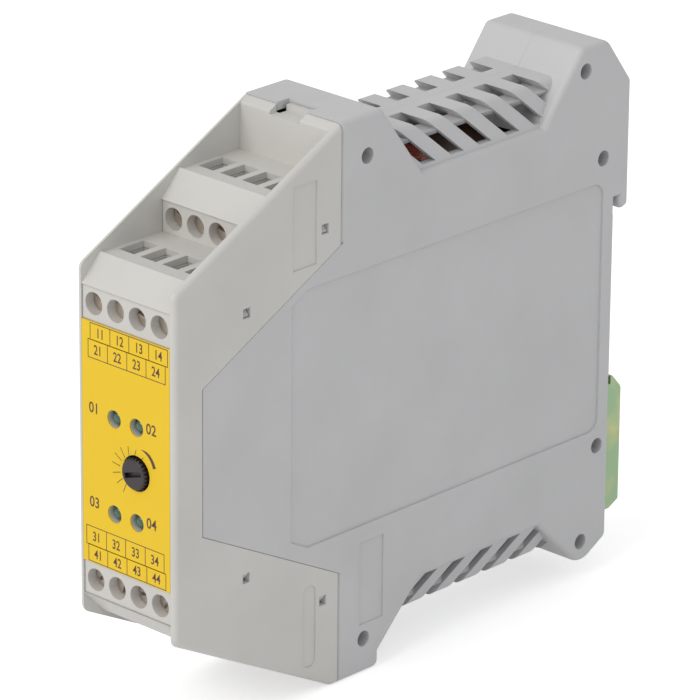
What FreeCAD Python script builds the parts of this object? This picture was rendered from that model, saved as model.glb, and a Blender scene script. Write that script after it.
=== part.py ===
# Safety relay for a 35 mm DIN rail, in a 22.5 mm wide housing.
#
# Sizes are in millimetres.  The parts are drawn in housing coordinates:
#   x  across the module, 0 on the joint between the two housing shells
#   d  depth, 0 on the front face and growing towards the rail
#   h  height, 0 half way up the module
# Each part is then moved so that the origin is the centre of the rail seat, with +Y pointing
# at the rail and +Z up.

import os
import math

import FreeCAD, Part
from FreeCAD import Vector

os.makedirs("parts", exist_ok=True)

# ---------------------------------------------------------------- housing
MODULE_WIDTH = 22.5
SEAT_DEPTH = 107.0          # front face to rail seat
RAIL_RISE = 2.3             # rail centre above mid height
LAND_HEIGHT = 49.5          # bottom land, from mid height
TOP_LAND_STEP = 0.9         # the top land stands this much further out
COVER_CREST_STEP = 0.6      # and the cover's edge in front of it this much
SHELL_WALL = 1.5
SIDE_EDGE_ROUND = 1.0
CORNER_ROUND = 1.4

FRONT_HALF_HEIGHT = 30.5    # front edge of the cover's side walls
SLOPE_DEPTH = 37.0          # where the front slope meets the land
LAND_DEPTH_TOP = 48.2       # rear end of the top land
LAND_DEPTH_BOTTOM = 48.6
BOTTOM_LAND_STEP = 2.8      # short upright behind the bottom land

VALLEY_START_TOP = 58.1     # louvred valley between the land and the rear hump
VALLEY_END_TOP = SEAT_DEPTH - 19.0
VALLEY_HEIGHT_TOP = LAND_HEIGHT - 12.5
VALLEY_START_BOTTOM = 58.9
VALLEY_END_BOTTOM = SEAT_DEPTH - 18.2
VALLEY_HEIGHT_BOTTOM = LAND_HEIGHT - 13.3

HUMP_START = SEAT_DEPTH - 9.5           # rear hump above the rail hook
HUMP_END = SEAT_DEPTH - 2.7
HUMP_HEIGHT = LAND_HEIGHT - 0.4
HOOK_SHOULDER = LAND_HEIGHT - 8.9       # height where the hook's back turns forward
FOOT_DEPTH = SEAT_DEPTH - 7.1           # lowest corner of the rear foot
FOOT_HEIGHT = LAND_HEIGHT - 2.3
FOOT_ROUND = 4.0
FOOT_REAR_HEIGHT = LAND_HEIGHT - 6.2

# ---------------------------------------------------------------- rail
RAIL_WIDTH = 35.0
FLANGE_SLOT = 1.2           # room for the rail's 1 mm flange
LIP_THICKNESS = 2.3         # hook lip and latch lip behind the flange
HOOK_OVERLAP = 2.6          # how far the hook lip reaches over the flange
SEAT_RELIEF = 0.1           # groove wall and the wall behind the latch, a little back from the seat

# ---------------------------------------------------------------- joint between cover and housing
SEAM_DEPTH = 38.4
SEAM_KNEE = 29.2
SEAM_NOSE_DEPTH = 6.4
SEAM_NOSE_HEIGHT = 12.9
SEAM_GAP = 0.15

# ---------------------------------------------------------------- front cover
COVER_WALL = 1.1
SKIN = 1.2
FRONT_CORNER_ROUND = 1.8
LABEL_HALF_HEIGHT = 21.2
LABEL_THICKNESS = 0.25
LABEL_GAP = 0.05
TIER_DEPTH_STEP = 18.2      # second terminal tier behind the first
TIER_HEIGHT_STEP = 9.75     # and further from mid height
HOOD_EDGE = 27.2            # lower edge of the first hood
HOOD_RUN = 4.3
HOOD_RISE = 4.5
RIDGE_LIP = 0.4             # hood ridge above the flat behind it
RIDGE_RUN = 0.8
CREST_CHAMFER = 0.9         # slanted top edge of the cover, in front of the land
NOTCH_HALF_WIDTH = 3.4      # release notch in the land, over the cover's catch
NOTCH_DEPTH = 4.5
NOTCH_SINK = 1.7
NOTCH_OVERRUN = 3.0         # cut past the seam
CATCH_LEFT = -2.7
CATCH_RIGHT = 3.1
CATCH_NOSE = 1.0            # length of the catch's raised end
CATCH_RISE = 1.1
CATCH_THICKNESS = 1.2
CATCH_GAP = 0.3             # to the rear wall of the notch

# ---------------------------------------------------------------- terminals
POLES = 4
POLE_PITCH = 5.0
SCREW_HEIGHT = 24.3         # screw axis of the first tier
SCREW_HOLE = 3.9
FACE_RECESS = 0.3           # terminal face behind the front face
BLOCK_DEPTH = 15.0
BLOCK_FLOOR = 19.6
BLOCK_CLEARANCE = 0.1
ENTRY_WIDTH = 3.5           # wire entry
ENTRY_START = 7.7
ENTRY_END = 13.4
FUNNEL_NARROWING = 2.4

HEAD_RECESS = 2.2           # screw head behind the front face
HEAD_DIAMETER = 3.6
HEAD_THICKNESS = 1.3
HEAD_SLOT = 0.6
HEAD_SLOT_DEPTH = 0.7
SHANK_DIAMETER = 2.8
SHOULDER = 0.6              # wall that the screw head bears on
TURNING_CLEARANCE = 0.1
THREAD_CLEARANCE = 0.08
SLOT_ANGLES = [38, 72, 15, 55]

CLAMP_TRAVEL = 3.0
CAGE_WIDTH = 3.9
CAGE_SIDE_WALL = 0.45
CAGE_END_WALL = 0.8
CAGE_HEIGHT = 4.6
CAGE_CLEARANCE = 0.2
WIRE_ROOM = 3.3             # open clamp, bar to cage
BAR_THICKNESS = 0.8
BAR_WIDTH = 2.5
TAIL_WIDTH = 0.8
TAIL_PITCH = 1.2

# ---------------------------------------------------------------- louvres
RIB_PITCH_TOP = 6.95
RIB_PITCH_BOTTOM = 7.05
RIB_GAP = 3.1
RIB_LEAN = 1.1              # depth per height of the slanted gaps between the ribs
FIRST_GAP_TOP = 1.8         # first gap, from the foot of the valley's front end
FIRST_GAP_BOTTOM = 3.05
RIB_THICKNESS = 1.9
LOUVRE_RISE_TOP = 7.2       # louvre roof above the valley's edge
LOUVRE_RISE_BOTTOM = 6.5
LOUVRE_HALF_WIDTH = 8.1     # where the roof bends down
LOUVRE_FOOT_HALF_WIDTH = 10.1
BEVEL_WALL = 1.3
BEND_ROUND = 1.4
SPINE_HALF_WIDTH = 2.2
STRINGER_START = 4.7        # long bar under the ribs
STRINGER_END = 8.4
STRINGER_HEIGHT = 1.5
STRINGER_UNDERCUT = 1.4     # its outer face slants in under its top edge
LEDGE_LIP = 0.6             # band left along the foot of the louvres

# ---------------------------------------------------------------- side details
PIN_HOLE = 2.8
PIN_HOLE_DEPTH = 4.5
PIN_BOSS = 5.2
PIN_BOSS_REACH = 5.75
PIN_HOLES = [(LAND_DEPTH_TOP - 3.7, LAND_HEIGHT - 6.3), (LAND_DEPTH_TOP - 3.6, -LAND_HEIGHT + 6.3),
             (HUMP_START + 0.9, HUMP_HEIGHT - 4.3), (FOOT_DEPTH, -FOOT_HEIGHT + 4.8),
             (SEAT_DEPTH - 3.5, 27.9), (SEAT_DEPTH - 3.4, -25.3)]
PANEL_SINK = 0.3
PANEL_START = 26.9
PANEL_END = SEAT_DEPTH - 3.3
PANEL_TOP = 23.6
PANEL_BOTTOM = -22.3
PANEL_CHAMFER = 4.0
PANEL_CORNER = 2.5
FIELD_SINK = 0.2            # shallow bare fields: depth from and to, height from and to
COVER_UPPER_FIELD = (27.1, 32.6, 27.5, 42.0)
COVER_LOWER_FIELD = (29.9, 32.9, -44.2, -29.4)
SHELL_FIELD = (43.6, 49.3, -40.5, -25.4)

SNAP_DEPTH = 16.4           # snap window of the first tier
SNAP_HEIGHT = 23.3
SNAP_WINDOW_DEPTH = 1.6
SNAP_WINDOW_HEIGHT = 1.7
TONGUE_ROOT = 3.5           # below the seam
TONGUE_WIDTH = 3.0
TONGUE_THICKNESS = 1.2
TONGUE_CLEARANCE = 0.15

# ---------------------------------------------------------------- foot latch
LATCH_WIDTH = 20.4
LATCH_GAP = 0.3
LATCH_THICKNESS = 2.7       # lip behind the flange
LATCH_CLEAR_OF_RAIL = 1.4   # overlap of the latch lip on the rail flange
LATCH_BOTTOM = 38.9
LATCH_TRAVEL = 4.0
NECK_WIDTH = 6.0
NECK_TOP = 20.0
NECK_BOTTOM = 29.0
HEAD_PLATE_WIDTH = 10.0
HEAD_PLATE_DEPTH = 3.7
HEAD_PLATE_MARGIN = 1.0
PULL_SLOT_WIDTH = 5.0
PULL_SLOT_HEIGHT = 1.6
PULL_SLOT_EDGE = 1.8
LATCH_LEAD = 2.6            # slanted top of the lip, which guides the rail in

SPRING_RADIUS = 1.6
SPRING_WIRE = 0.6
SPRING_COILS = 6
SPRING_SEAT = 40.5
SHELF_THICKNESS = 3.0
SPRING_END_GAP = 0.05

# ---------------------------------------------------------------- electronics
BOARD_THICKNESS = 1.6
MAIN_BOARD_FACE = -6.85
MAIN_BOARD_END = SEAT_DEPTH - 7.0
MAIN_BOARD_HALF_HEIGHT = VALLEY_HEIGHT_BOTTOM - 2.2
BOARD_MARGIN = 0.3
BOARD_STEP = 3.5            # board edge, back from the terminal blocks
BOARD_CORNER_STEP = 4.0
GUIDE_LEVELS = [-30.25, 0.0, 30.25]     # ribs of the left shell that back the board
GUIDE_THICKNESS = 1.5
GUIDE_START = 44.4
GUIDE_END = MAIN_BOARD_END - 2.0
FRONT_BOARD_DEPTH = 5.5
FRONT_BOARD_TOP = 12.0
FRONT_BOARD_BOTTOM = -14.0
FRONT_BOARD_RIGHT = 9.4
HEADER_SIZE = 2.5
HEADER_INSET = 3.0

LED_DIAMETER = 2.9
LED_FLANGE = 3.8
LED_FLANGE_THICKNESS = 1.0
LED_RECESS = 0.35
LED_HOLE_CLEARANCE = 0.1
LED_LEFT = -2.7
LED_RIGHT = 2.45
LED_UPPER = 5.6
LED_LOWER = -11.1

KNOB_X = 2.35
KNOB_HEIGHT = -2.4
KNOB_DIAMETER = 5.6
KNOB_PROUD = 0.8
KNOB_THICKNESS = 2.2
KNOB_CLEARANCE = 0.3
KNOB_SLOT_WIDTH = 0.9
KNOB_SLOT_DEPTH = 0.8
KNOB_SLOT_LENGTH = 3.9
KNOB_SLOT_ANGLE = 18.0
KNURL_COUNT = 24
KNURL_DIAMETER = 0.5
SHAFT_DIAMETER = 2.5
SHAFT_CLEARANCE = 0.05
POT_SIZE = 9.5
POT_GAP = 0.4
POT_BORE_FLOOR = 0.5

RELAY_START = 41.5          # two relays in a row fill the board
RELAY_SPACE = 5.0
RELAY_INNER_HEIGHT = 16.0
RELAY_EDGE_MARGIN = 0.3
RELAY_THICKNESS = 14.5
RELAY_ROUND = 0.6

TRANSFORMER_START = 44.0
TRANSFORMER_HEIGHT = 28.0
TRANSFORMER_THICKNESS = 14.0
COIL_MARGIN = 5.0
COIL_WINDOW_DEPTH = 3.0
CAN_DIAMETER = 12.0
CAN_LENGTH = 14.0
CAN_DEPTH = MAIN_BOARD_END - 16.0
CAN_MARGIN = 4.0
CAN_PITCH = 14.0
FILM_GAP = 0.25             # between the film capacitor and the relays beside it
FILM_HEIGHT = 14.0
FILM_THICKNESS = 11.4

# ---------------------------------------------------------------- derived sizes
HALF_WIDTH = MODULE_WIDTH / 2
SHELL_INNER = HALF_WIDTH - SHELL_WALL
COVER_INNER = HALF_WIDTH - COVER_WALL
FLANGE_DEPTH = SEAT_DEPTH + FLANGE_SLOT
LIP_REAR = FLANGE_DEPTH + LIP_THICKNESS
RAIL_TOP = RAIL_RISE + RAIL_WIDTH / 2
RAIL_BOTTOM = RAIL_RISE - RAIL_WIDTH / 2
HOOK_TIP = RAIL_TOP - HOOK_OVERLAP
LATCH_TOP = RAIL_BOTTOM + LATCH_CLEAR_OF_RAIL
LATCH_FRONT = SEAT_DEPTH + LATCH_GAP
LATCH_REAR = FLANGE_DEPTH + LATCH_THICKNESS
REAR_WALL_INNER = SEAT_DEPTH - SHELL_WALL
TOP_LAND_HEIGHT = LAND_HEIGHT + TOP_LAND_STEP
FLAT_HEIGHT = HOOD_EDGE + HOOD_RISE - RIDGE_LIP   # first tier's flat
SKIN_UNDER = FLAT_HEIGHT - SKIN
PLATE_REAR = LABEL_THICKNESS + SKIN               # back of the cover's front plate
COVER_FRONT_WALL = 2 * TIER_DEPTH_STEP + 0.2      # upright wall behind the second tier
POLE_X = [POLE_PITCH * (i - (POLES - 1) / 2) for i in range(POLES)]
HEAD_REAR = HEAD_RECESS + HEAD_THICKNESS
CAVITY_START = HEAD_REAR + TURNING_CLEARANCE + SHOULDER
CAGE_FRONT = CAVITY_START + CAGE_CLEARANCE + CLAMP_TRAVEL
BAR_FRONT = CAGE_FRONT + CAGE_END_WALL + 0.15
BAR_REAR = BAR_FRONT + BAR_THICKNESS
CAGE_REAR = BAR_REAR + WIRE_ROOM + CAGE_END_WALL
CAVITY_END = CAGE_REAR + CAGE_CLEARANCE
RELAY_LENGTH = (MAIN_BOARD_END - 1.0 - RELAY_SPACE - RELAY_START) / 2
RELAY_HEIGHT = MAIN_BOARD_HALF_HEIGHT - RELAY_EDGE_MARGIN - RELAY_INNER_HEIGHT
TRANSFORMER_LENGTH = CAN_DEPTH - CAN_DIAMETER / 2 - CAN_MARGIN - TRANSFORMER_START
LED_PLACES = [(x, h) for x in (LED_LEFT, LED_RIGHT) for h in (LED_UPPER, LED_LOWER)]
MAIN_BOARD_BACK = MAIN_BOARD_FACE - BOARD_THICKNESS
MAIN_BOARD_START = FRONT_BOARD_DEPTH + BOARD_THICKNESS
POT_FRONT = KNOB_THICKNESS - KNOB_PROUD + POT_GAP


# ---------------------------------------------------------------- drawing helpers

def box(x0, x1, d0, d1, h0, h1):
    return Part.makeBox(x1 - x0, d1 - d0, h1 - h0, Vector(x0, d0, h0))


def rod(x, d0, d1, h, radius):
    """Round bar along the depth."""
    return Part.makeCylinder(radius, d1 - d0, Vector(x, d0, h), Vector(0, 1, 0))


def cross_rod(x0, x1, d, h, radius):
    """Round bar across the module."""
    return Part.makeCylinder(radius, x1 - x0, Vector(x0, d, h), Vector(1, 0, 0))


def outline_edges(points, to_vector):
    """Edges of a closed outline.  A point (u, v, r) gets a tangent arc of radius r."""
    count = len(points)
    ends = []
    edges = []
    for i in range(count):
        before, here, after = points[i - 1], points[i], points[(i + 1) % count]
        radius = here[2] if len(here) > 2 else 0.0
        if radius <= 0:
            ends.append((here[:2], here[:2], None))
            continue
        to_before = (before[0] - here[0], before[1] - here[1])
        to_after = (after[0] - here[0], after[1] - here[1])
        len_before, len_after = math.hypot(*to_before), math.hypot(*to_after)
        u = (to_before[0] / len_before, to_before[1] / len_before)
        v = (to_after[0] / len_after, to_after[1] / len_after)
        angle = math.acos(max(-1.0, min(1.0, u[0] * v[0] + u[1] * v[1])))
        reach = min(radius / math.tan(angle / 2), 0.45 * len_before, 0.45 * len_after)
        radius = reach * math.tan(angle / 2)
        start = (here[0] + u[0] * reach, here[1] + u[1] * reach)
        end = (here[0] + v[0] * reach, here[1] + v[1] * reach)
        bisector = (u[0] + v[0], u[1] + v[1])
        scale = radius / math.sin(angle / 2) / math.hypot(*bisector)
        centre = (here[0] + bisector[0] * scale, here[1] + bisector[1] * scale)
        towards = (here[0] - centre[0], here[1] - centre[1])
        scale = radius / math.hypot(*towards)
        middle = (centre[0] + towards[0] * scale, centre[1] + towards[1] * scale)
        ends.append((start, end, middle))
    for i in range(count):
        start, end, middle = ends[i]
        if middle:
            edges.append(Part.Arc(to_vector(start), to_vector(middle), to_vector(end)).toShape())
        edges.append(Part.LineSegment(to_vector(end), to_vector(ends[(i + 1) % count][0])).toShape())
    return edges


def side_plate(points, x0, x1):
    """Outline of (d, h) points, extruded across the module."""
    edges = outline_edges(points, lambda p: Vector(x0, p[0], p[1]))
    return Part.Face(Part.Wire(edges)).extrude(Vector(x1 - x0, 0, 0))


def section_bar(points, d0, d1):
    """Outline of (x, h) points, extruded along the depth."""
    edges = outline_edges(points, lambda p: Vector(p[0], d0, p[1]))
    return Part.Face(Part.Wire(edges)).extrude(Vector(0, d1 - d0, 0))


def inset(points, wall):
    """The same closed outline, moved inwards by a wall (points run clockwise in d, h)."""
    moved = []
    count = len(points)
    for i in range(count):
        before, here, after = points[i - 1], points[i], points[(i + 1) % count]
        lines = []
        for a, b in ((before, here), (here, after)):
            length = math.hypot(b[0] - a[0], b[1] - a[1])
            along = ((b[0] - a[0]) / length, (b[1] - a[1]) / length)
            lines.append((along, (a[0] + along[1] * wall, a[1] - along[0] * wall)))
        (u, p), (v, q) = lines
        cross = u[0] * v[1] - u[1] * v[0]
        step = ((q[0] - p[0]) * v[1] - (q[1] - p[1]) * v[0]) / cross
        moved.append((p[0] + u[0] * step, p[1] + u[1] * step))
    return moved


def upside_down(shape):
    return shape.mirror(Vector(0, 0, 0), Vector(0, 0, 1))


def other_side(shape):
    return shape.mirror(Vector(0, 0, 0), Vector(1, 0, 0))


def second_tier(shape):
    moved = shape.copy()
    moved.translate(Vector(0, TIER_DEPTH_STEP, TIER_HEIGHT_STEP))
    return moved


def joined(shapes):
    result = shapes[0]
    for shape in shapes[1:]:
        result = result.fuse(shape)
    return result.removeSplitter()


def export(name, shape):
    moved = shape.copy()
    moved.translate(Vector(0, -SEAT_DEPTH, -RAIL_RISE))
    moved.exportStep("parts/" + name + ".step")
    print(name, "solids", len(moved.Solids), "volume", round(moved.Volume, 1), "valid", moved.isValid())


# ---------------------------------------------------------------- side outlines

SEAM = [(SEAM_DEPTH, -SEAM_KNEE), (SEAM_NOSE_DEPTH, -SEAM_NOSE_HEIGHT),
        (SEAM_NOSE_DEPTH, SEAM_NOSE_HEIGHT), (SEAM_DEPTH, SEAM_KNEE)]

TOP_PROFILE = [(LAND_DEPTH_TOP, TOP_LAND_HEIGHT, CORNER_ROUND),
               (VALLEY_START_TOP, VALLEY_HEIGHT_TOP),
               (VALLEY_END_TOP, VALLEY_HEIGHT_TOP),
               (HUMP_START, HUMP_HEIGHT, CORNER_ROUND),
               (HUMP_END, HUMP_HEIGHT, 2 * CORNER_ROUND),
               (LIP_REAR, HOOK_SHOULDER, CORNER_ROUND)]

BOTTOM_PROFILE = [(FOOT_DEPTH, -FOOT_HEIGHT, FOOT_ROUND),
                  (VALLEY_END_BOTTOM, -VALLEY_HEIGHT_BOTTOM),
                  (VALLEY_START_BOTTOM, -VALLEY_HEIGHT_BOTTOM),
                  (LAND_DEPTH_BOTTOM, -LAND_HEIGHT + BOTTOM_LAND_STEP),
                  (LAND_DEPTH_BOTTOM, -LAND_HEIGHT, CORNER_ROUND)]

REAR_PROFILE = [(LIP_REAR, HOOK_TIP + 0.6, 0.5),
                (FLANGE_DEPTH + 0.7, HOOK_TIP, 0.4),
                (FLANGE_DEPTH, HOOK_TIP + 1.0),
                (FLANGE_DEPTH, RAIL_TOP),
                (SEAT_DEPTH - SEAT_RELIEF, RAIL_TOP),
                (SEAT_DEPTH - SEAT_RELIEF, HOOK_TIP - 0.3),
                (SEAT_DEPTH, HOOK_TIP - 0.3),
                (SEAT_DEPTH, LATCH_TOP + LATCH_GAP),
                (SEAT_DEPTH - SEAT_RELIEF, LATCH_TOP + LATCH_GAP),
                (SEAT_DEPTH - SEAT_RELIEF, -FOOT_REAR_HEIGHT, CORNER_ROUND)]

HOUSING_OUTLINE = ([(SEAM_DEPTH, TOP_LAND_HEIGHT)] + TOP_PROFILE + REAR_PROFILE + BOTTOM_PROFILE
                   + [(SEAM_DEPTH, -LAND_HEIGHT)] + SEAM)

# The hollow follows the outside, one wall in, and leaves the hook solid.
HOOK_SLOPE = (HUMP_HEIGHT - HOOK_SHOULDER) / (LIP_REAR - HUMP_END)
HOLLOW_OUTLINE = inset([(0.0, TOP_LAND_HEIGHT)] + [p[:2] for p in TOP_PROFILE[:5]]
                       + [(SEAT_DEPTH, HUMP_HEIGHT - (SEAT_DEPTH - HUMP_END) * HOOK_SLOPE),
                          (SEAT_DEPTH, -FOOT_REAR_HEIGHT)]
                       + [p[:2] for p in BOTTOM_PROFILE] + [(0.0, -LAND_HEIGHT)], SHELL_WALL)

COVER_CREST = LAND_HEIGHT + COVER_CREST_STEP
COVER_OUTLINE = ([(0.0, -FRONT_HALF_HEIGHT, FRONT_CORNER_ROUND),
                  (0.0, FRONT_HALF_HEIGHT, FRONT_CORNER_ROUND),
                  (SEAM_DEPTH - SEAM_GAP, COVER_CREST)]
                 + [(d - SEAM_GAP, h) for d, h in reversed(SEAM)]
                 + [(SEAM_DEPTH - SEAM_GAP, -LAND_HEIGHT), (SLOPE_DEPTH, -LAND_HEIGHT, CORNER_ROUND)])


def round_side_edges(shape, x, depth_limit, seam_points):
    """Round the outer edges of a side face, but leave the edges along the seam sharp."""
    chosen = []
    for edge in shape.Edges:
        box_ = edge.BoundBox
        if abs(box_.XMin - x) > 1e-6 or abs(box_.XMax - x) > 1e-6:
            continue
        on_seam = sum(1 for v in edge.Vertexes
                      for d, h in seam_points if abs(v.Y - d) < 1e-6 and abs(v.Z - h) < 1e-6)
        if on_seam >= 2 or box_.YMin > depth_limit:
            continue
        chosen.append(edge)
    return shape.makeFillet(SIDE_EDGE_ROUND, chosen)


# ---------------------------------------------------------------- louvres

def louvre_section(half_width, foot_half_width, top, foot, corner):
    """Cross-section of one half of the louvre roof."""
    return [(0.0, foot), (0.0, top), (half_width, top, corner), (foot_half_width, foot)]


def louvres(start, end, ledge, rise, front_slope, rear_slope, first_gap, pitch):
    """Louvre roof over the top valley, and the opening under it, for the +x half.

    Slopes are depth per height of the valley's two end walls.  The gaps between the ribs are cut
    on the slant, so the ribs' front faces are undercut, and they lean back where the roof bends
    down to the ledge.
    """
    top = ledge + rise

    def front_at(h):
        return start - (h - ledge) * front_slope

    def rear_at(h):
        return end + (h - ledge) * rear_slope

    bevel_run = (LOUVRE_FOOT_HALF_WIDTH - LOUVRE_HALF_WIDTH) / rise
    roof_under = top - RIB_THICKNESS
    valley = side_plate([(front_at(ledge), ledge), (front_at(top), top),
                         (rear_at(top), top), (rear_at(ledge), ledge)], 0, HALF_WIDTH)
    roof = section_bar(louvre_section(LOUVRE_HALF_WIDTH, LOUVRE_FOOT_HALF_WIDTH, top, ledge, BEND_ROUND),
                       front_at(top), rear_at(top)).common(valley)
    low = ledge - SHELL_WALL - 0.5
    inner_foot = LOUVRE_FOOT_HALF_WIDTH - BEVEL_WALL
    inner_top = LOUVRE_HALF_WIDTH - BEVEL_WALL + RIB_THICKNESS * bevel_run
    under_edges = [(0.0, low), (0.0, roof_under), (inner_top, roof_under), (inner_foot, ledge),
                   (inner_foot, low)]
    under = section_bar(under_edges, front_at(roof_under), rear_at(roof_under)).common(
        side_plate([(front_at(low), low), (front_at(roof_under), roof_under),
                    (rear_at(roof_under), roof_under), (rear_at(low), low)], 0, HALF_WIDTH))
    bar_low = roof_under - STRINGER_HEIGHT
    bar_points = [(STRINGER_START, bar_low), (STRINGER_START, roof_under), (STRINGER_END, roof_under),
                  (STRINGER_END - STRINGER_UNDERCUT, bar_low)]
    stringer = section_bar(bar_points, front_at(top), rear_at(top)).common(
        side_plate([(front_at(low), low), (front_at(top), top), (rear_at(top), top),
                    (rear_at(low), low)], 0, HALF_WIDTH))
    gaps = []
    gap_start = start + first_gap
    cut_low = ledge + LEDGE_LIP
    while gap_start < rear_at(top) + rise * RIB_LEAN:
        points = []
        for h in (cut_low, top + 1.0):
            lean = (h - ledge) * RIB_LEAN
            points.append((gap_start - lean, gap_start + RIB_GAP - lean, h))
        (a0, a1, ha), (b0, b1, hb) = points
        gap = side_plate([(a0, ha), (b0, hb), (b1, hb), (a1, ha)], SPINE_HALF_WIDTH, HALF_WIDTH)
        gap = gap.common(valley)
        if gap.Volume > 0.1:
            gaps.append(gap)
        gap_start += pitch
    return roof, under, stringer, gaps


# ---------------------------------------------------------------- housing shells

def snap_places():
    """Depth and height of the snap windows, in the top half."""
    return [(SNAP_DEPTH, SNAP_HEIGHT), (SNAP_DEPTH + TIER_DEPTH_STEP, SNAP_HEIGHT + TIER_HEIGHT_STEP)]


def seam_height(depth):
    """Height of the slanted seam at a depth."""
    slope = (SEAM_KNEE - SEAM_NOSE_HEIGHT) / (SEAM_DEPTH - SEAM_NOSE_DEPTH)
    return SEAM_NOSE_HEIGHT + slope * (depth - SEAM_NOSE_DEPTH)


def snap_tongues():
    """Spring tongues inside the cover's wall, each with a nose in its snap window (+x, top)."""
    pieces = []
    outer = COVER_INNER - TONGUE_CLEARANCE
    for depth, height in snap_places():
        front = depth - SNAP_WINDOW_DEPTH / 2 - 0.1
        root = seam_height(depth) - TONGUE_ROOT
        tongue = box(outer - TONGUE_THICKNESS, outer, front, front + TONGUE_WIDTH,
                     root, height + SNAP_WINDOW_HEIGHT / 2)
        foot = box(outer - TONGUE_THICKNESS, SHELL_INNER + 0.5, front, front + TONGUE_WIDTH,
                   root, seam_height(front) - 0.6)
        nose_points = [(outer - 0.2, height + 0.7), (outer, height + 0.7),
                       (HALF_WIDTH - 0.35, height - 0.4), (HALF_WIDTH - 0.35, height - 0.7),
                       (outer - 0.2, height - 0.7)]
        nose = section_bar(nose_points, depth - SNAP_WINDOW_DEPTH / 2 + 0.15,
                           depth + SNAP_WINDOW_DEPTH / 2 - 0.15)
        pieces += [tongue, foot, nose]
    return pieces


def label_panel():
    """Shallow recess for a type plate, in the side face."""
    chamfer_run = PANEL_CHAMFER
    chamfer_rise = chamfer_run * (SEAM_KNEE - SEAM_NOSE_HEIGHT) / (SEAM_DEPTH - SEAM_NOSE_DEPTH)
    return side_plate([(PANEL_START, PANEL_TOP - chamfer_rise),
                       (PANEL_START + chamfer_run, PANEL_TOP),
                       (PANEL_END, PANEL_TOP, PANEL_CORNER),
                       (PANEL_END, PANEL_BOTTOM, PANEL_CORNER),
                       (PANEL_START + chamfer_run, PANEL_BOTTOM),
                       (PANEL_START, PANEL_BOTTOM + chamfer_rise)],
                      HALF_WIDTH - PANEL_SINK, HALF_WIDTH + 1)


def latch_slot():
    """Slot in the rear wall for the latch's neck, with room for its travel (+x half)."""
    return box(0, NECK_WIDTH / 2 + LATCH_GAP, REAR_WALL_INNER - 1, SEAT_DEPTH + 1,
               -NECK_BOTTOM - LATCH_TRAVEL - LATCH_GAP, -NECK_TOP + LATCH_GAP)


def housing_half(catch_side):
    """One moulded shell, drawn for +x.  catch_side is the signed side that this shell ends up on."""
    shell = side_plate(HOUSING_OUTLINE, 0, HALF_WIDTH)
    shell = round_side_edges(shell, HALF_WIDTH, LIP_REAR - LIP_THICKNESS, SEAM)
    hollow = side_plate(HOLLOW_OUTLINE, -1, SHELL_INNER)
    shell = shell.cut(hollow)
    for d, h in PIN_HOLES:
        boss = cross_rod(PIN_BOSS_REACH, HALF_WIDTH - 1, d, h, PIN_BOSS / 2)
        shell = shell.fuse(boss)
    top_roof = louvres(VALLEY_START_TOP, VALLEY_END_TOP, VALLEY_HEIGHT_TOP, LOUVRE_RISE_TOP,
                       (VALLEY_START_TOP - LAND_DEPTH_TOP) / (TOP_LAND_HEIGHT - VALLEY_HEIGHT_TOP),
                       (HUMP_START - VALLEY_END_TOP) / (HUMP_HEIGHT - VALLEY_HEIGHT_TOP),
                       FIRST_GAP_TOP, RIB_PITCH_TOP)
    bottom_roof = louvres(VALLEY_START_BOTTOM, VALLEY_END_BOTTOM, VALLEY_HEIGHT_BOTTOM, LOUVRE_RISE_BOTTOM,
                          (VALLEY_START_BOTTOM - LAND_DEPTH_BOTTOM)
                          / (LAND_HEIGHT - BOTTOM_LAND_STEP - VALLEY_HEIGHT_BOTTOM),
                          (FOOT_DEPTH - VALLEY_END_BOTTOM) / (FOOT_HEIGHT - VALLEY_HEIGHT_BOTTOM),
                          FIRST_GAP_BOTTOM, RIB_PITCH_BOTTOM)
    for (roof, under, stringer, gaps), bottom in ((top_roof, False), (bottom_roof, True)):
        pieces = [roof, under, stringer] + gaps
        if bottom:
            pieces = [upside_down(piece) for piece in pieces]
        shell = shell.fuse(pieces[0]).cut(pieces[1])
        for gap in pieces[3:]:
            shell = shell.cut(gap)
        shell = shell.fuse(pieces[2])
    spring_shelf = box(0, NECK_WIDTH / 2, REAR_WALL_INNER - HEAD_PLATE_DEPTH - 1, REAR_WALL_INNER + 0.5,
                       -SPRING_SEAT - SHELF_THICKNESS, -SPRING_SEAT)
    shell = shell.fuse(spring_shelf.common(side_plate(HOUSING_OUTLINE, 0, HALF_WIDTH)))
    shell = shell.cut(latch_slot())
    for piece in snap_tongues():
        shell = shell.fuse(piece).fuse(upside_down(piece))
    for d, h in PIN_HOLES:
        shell = shell.cut(cross_rod(HALF_WIDTH - PIN_HOLE_DEPTH, HALF_WIDTH + 1, d, h, PIN_HOLE / 2))
    shell = shell.cut(label_panel())
    shell = shell.cut(box(HALF_WIDTH - FIELD_SINK, HALF_WIDTH + 1, *SHELL_FIELD))
    shell = shell.cut(release_notch(SEAM_DEPTH - NOTCH_OVERRUN, TOP_LAND_HEIGHT))
    shell = shell.cut(upside_down(release_notch(SEAM_DEPTH - NOTCH_OVERRUN, LAND_HEIGHT)))
    if catch_side < 0:
        for level in GUIDE_LEVELS:
            rib = box(-MAIN_BOARD_BACK, SHELL_INNER + 0.5, GUIDE_START, GUIDE_END,
                      level - GUIDE_THICKNESS / 2, level + GUIDE_THICKNESS / 2)
            shell = shell.fuse(rib)
        return other_side(shell).removeSplitter()
    return shell.removeSplitter()


def release_notch(start, land):
    """Notch in a land, over the cover's catch, drawn for the top."""
    return box(-NOTCH_HALF_WIDTH, NOTCH_HALF_WIDTH, start, COVER_FRONT_WALL + NOTCH_DEPTH,
               land - NOTCH_SINK, land + TOP_LAND_STEP)


# ---------------------------------------------------------------- front cover

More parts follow.
